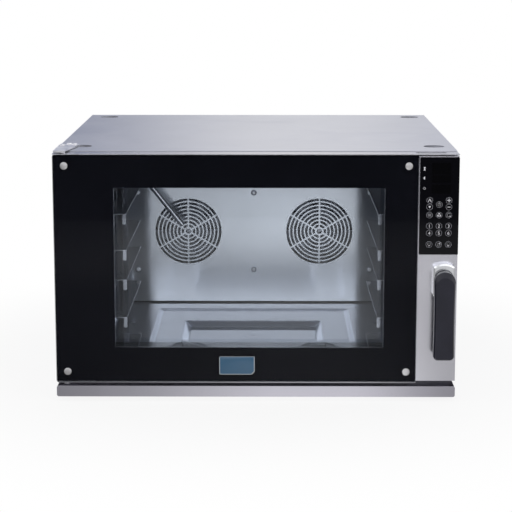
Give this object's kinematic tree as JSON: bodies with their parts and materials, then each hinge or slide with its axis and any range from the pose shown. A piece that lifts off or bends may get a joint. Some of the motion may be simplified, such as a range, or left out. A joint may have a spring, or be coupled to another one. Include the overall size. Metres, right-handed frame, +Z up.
{
  "type": "convection oven",
  "caption": "Countertop convection oven with a wide glass door hinged at the left, a steel control column with a drop lever, four tray levels and two fan grilles.",
  "frame": {"origin": "centre of the whole oven's outline on the floor plane, under the four feet", "axes": "+X to the right of someone who faces the door, +Y from the door to the back, +Z up"},
  "size_m": [0.8, 0.848, 0.5086],
  "materials": {
    "stainless": "brushed",
    "polished_steel": "bright",
    "galvanised": "matt",
    "zinc_hardware": "bright",
    "aluminium": "satin",
    "chrome": "polished",
    "door_glass": "clear",
    "panel_glass": "gloss",
    "black_print": "gloss",
    "black_lever": "satin",
    "black_plastic": "matt",
    "rubber": "matt",
    "silicone": "matt",
    "wool": "matt",
    "circuit": "satin",
    "bronze": "satin",
    "lamp_glass": "clear",
    "badge_enamel": "gloss"
  },
  "bodies": {
    "cabinet": {"top_cover": "stainless", "left_side_panel": "stainless", "right_side_panel": "stainless", "back_panel": "galvanised", "base_pan": "galvanised", "drip_gutter": "stainless", "nose_trim": "stainless", "face_frame": "stainless", "rubber_feet": "rubber", "cavity_liner": "polished_steel", "cavity_back_wall": "polished_steel", "cavity_lamp_housing": "aluminium", "cavity_lamp_lens": "lamp_glass", "fan_baffle": "polished_steel", "baffle_screws": "zinc_hardware", "left_rack": "stainless", "right_rack": "stainless", "rack_studs": "zinc_hardware", "steam_tube": "polished_steel", "temp_probe": "zinc_hardware", "left_heater": "galvanised", "right_heater": "galvanised", "left_fan_motor": "aluminium", "right_fan_motor": "aluminium", "motor_bulkhead": "galvanised", "insulation": "wool", "exhaust_pipe": "stainless", "compartment_wall": "galvanised", "power_board": "circuit", "terminal_block": "black_plastic", "water_valve": "black_plastic", "cable_gland": "black_plastic", "cooler_frame": "black_plastic", "door_gasket": "silicone", "hinge_top_plate": "zinc_hardware", "hinge_screws": "zinc_hardware", "hinge_bottom_bracket": "zinc_hardware", "latch_keeper": "zinc_hardware"},
    "door": {"door_outer_glass": "door_glass", "glass_mask": "black_print", "door_inner_glass": "door_glass", "door_hinge_stile": "stainless", "door_middle_stile": "stainless", "door_top_rail": "stainless", "door_bottom_rail": "stainless", "hinge_bushes": "bronze", "control_column": "stainless", "control_glass": "panel_glass", "display_board": "circuit", "glass_caps": "zinc_hardware", "badge_plate": "badge_enamel", "handle_boss": "chrome"},
    "handle": {"handle_grip": "black_lever", "handle_spindle": "zinc_hardware", "latch_hook": "zinc_hardware"},
    "left_fan": {"left_fan_wheel": "galvanised", "left_fan_shaft": "zinc_hardware"},
    "right_fan": {"right_fan_wheel": "galvanised", "right_fan_shaft": "zinc_hardware"},
    "cooling_fan": {"cooler_rotor": "black_plastic"}
  },
  "joints": [
    {"name": "door_hinge", "type": "hinge", "parent": "cabinet", "child": "door", "pos_m": [-0.38, -0.358, 0.27], "axis": [0, 0, -1], "range_deg": [0, 110]},
    {"name": "handle_turn", "type": "hinge", "parent": "door", "child": "handle", "pos_m": [0.372, -0.413, 0.2515], "axis": [0, 1, 0], "range_deg": [0, 90]},
    {"name": "left_fan_spin", "type": "hinge", "parent": "cabinet", "child": "left_fan", "pos_m": [-0.1577, 0.172, 0.2612], "axis": [0, 1, 0], "continuous": true},
    {"name": "right_fan_spin", "type": "hinge", "parent": "cabinet", "child": "right_fan", "pos_m": [0.1417, 0.172, 0.2612], "axis": [0, 1, 0], "continuous": true},
    {"name": "cooling_fan_spin", "type": "hinge", "parent": "cabinet", "child": "cooling_fan", "pos_m": [-0.008, 0.38, 0.2612], "axis": [0, 1, 0], "continuous": true}
  ]
}
